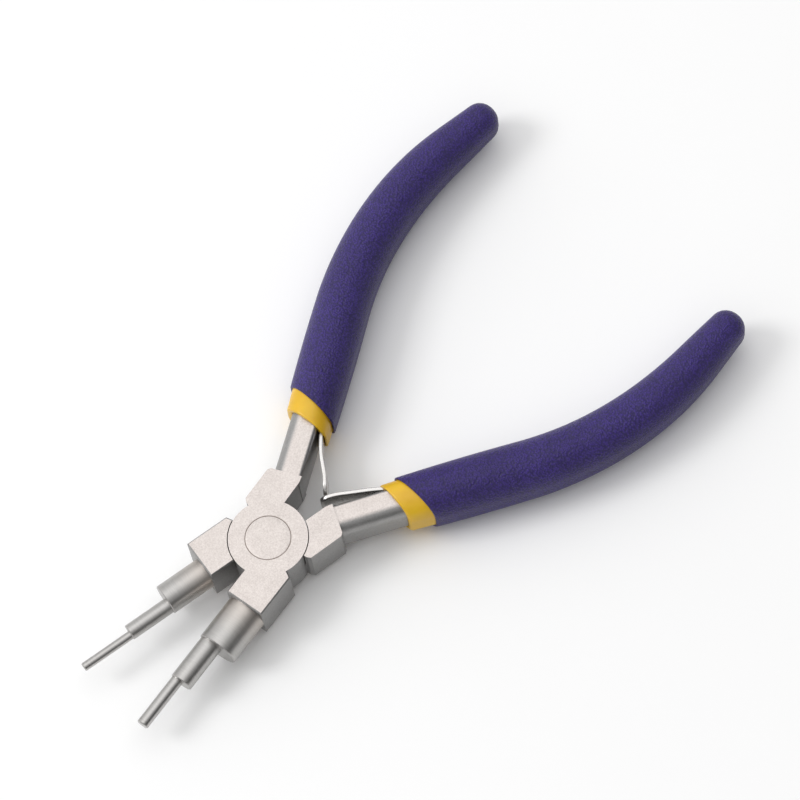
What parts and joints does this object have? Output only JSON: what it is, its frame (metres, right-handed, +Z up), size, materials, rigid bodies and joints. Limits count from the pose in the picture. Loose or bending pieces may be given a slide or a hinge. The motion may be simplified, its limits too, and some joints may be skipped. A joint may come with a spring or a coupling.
{
  "type": "looping pliers",
  "caption": "Wire looping pliers with stepped round jaws, a flush riveted lap joint, leaf springs and two-layer vinyl grips.",
  "frame": {"origin": "on the pivot axis, at the joint's flat underside", "axes": "+Z up along the pivot; +X runs midway between the jaws towards their tips; +Y is lever B's handle side"},
  "size_m": [0.1431, 0.08, 0.0136],
  "materials": {
    "satin_steel": "satin nickel with a fine blasted grain",
    "spring_steel": "rolled, semi-bright",
    "inner_vinyl": "smooth semi-gloss",
    "outer_vinyl": "fine pebbled matte"
  },
  "bodies": {
    "half_a": {"lever_a": "satin_steel", "pivot_rivet": "satin_steel", "leaf_spring_a": "spring_steel", "leaf_rivet_a": "spring_steel", "liner_a": "inner_vinyl", "grip_a": "outer_vinyl"},
    "half_b": {"lever_b": "satin_steel", "leaf_spring_b": "spring_steel", "leaf_rivet_b": "spring_steel", "liner_b": "inner_vinyl", "grip_b": "outer_vinyl"}
  },
  "joints": [
    {"name": "pivot", "type": "hinge", "parent": "half_a", "child": "half_b", "pos_m": [0, 0, 0.0052], "axis": [0, 0, 1], "range_deg": [-30, 18], "stiffness_Nm_per_rad": 0.8, "deforming": ["leaf_spring_a", "leaf_spring_b"]}
  ]
}
